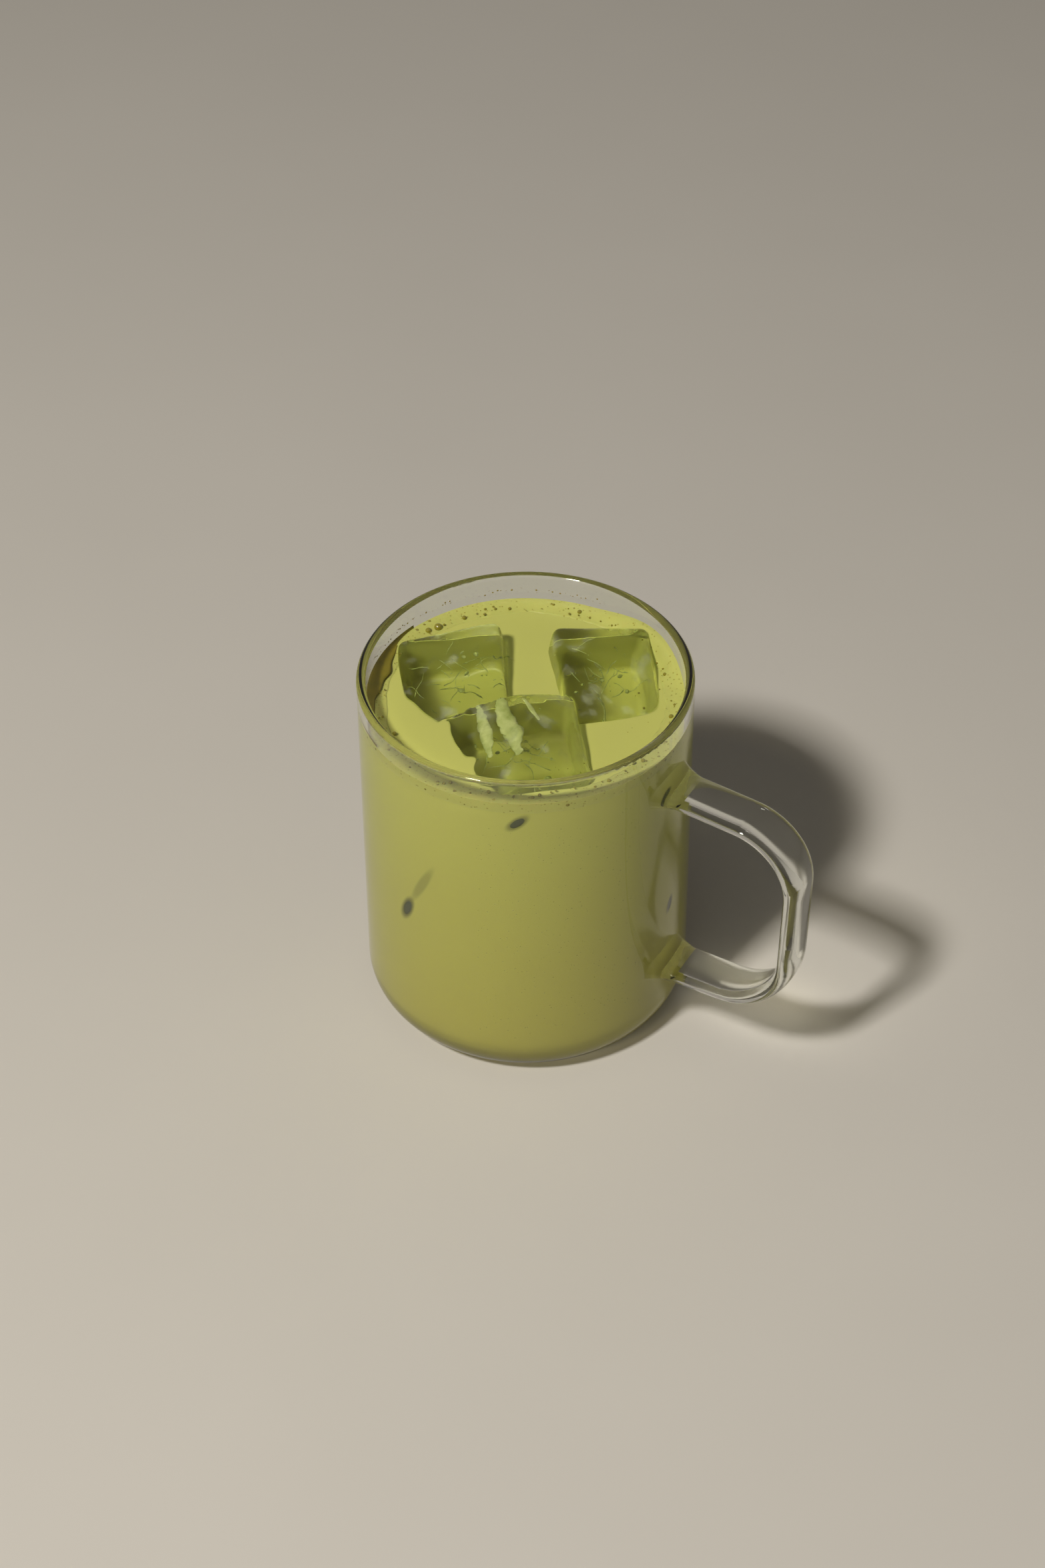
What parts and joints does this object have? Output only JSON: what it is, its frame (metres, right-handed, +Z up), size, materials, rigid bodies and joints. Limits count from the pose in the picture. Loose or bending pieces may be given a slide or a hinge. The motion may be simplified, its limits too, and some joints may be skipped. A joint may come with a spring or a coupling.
{
  "type": "iced matcha latte",
  "caption": "Clear glass mug with a welded strap handle, filled with pale green iced milk tea under a froth ring, with ice cubes standing out of it.",
  "frame": {"origin": "centre of the mug's underside, where it rests", "axes": "+Z up along the mug's axis, +X towards the handle, +Y across it"},
  "size_m": [0.1169, 0.08, 0.096],
  "materials": {
    "mug_glass": "clear polished",
    "latte": "opaque liquid",
    "froth": "fine foam",
    "ice": "wet ice"
  },
  "bodies": {
    "root": {"mug": "mug_glass", "latte": "latte", "froth": "froth", "ice_left": "ice", "ice_right": "ice", "ice_front": "ice"}
  },
  "joints": []
}
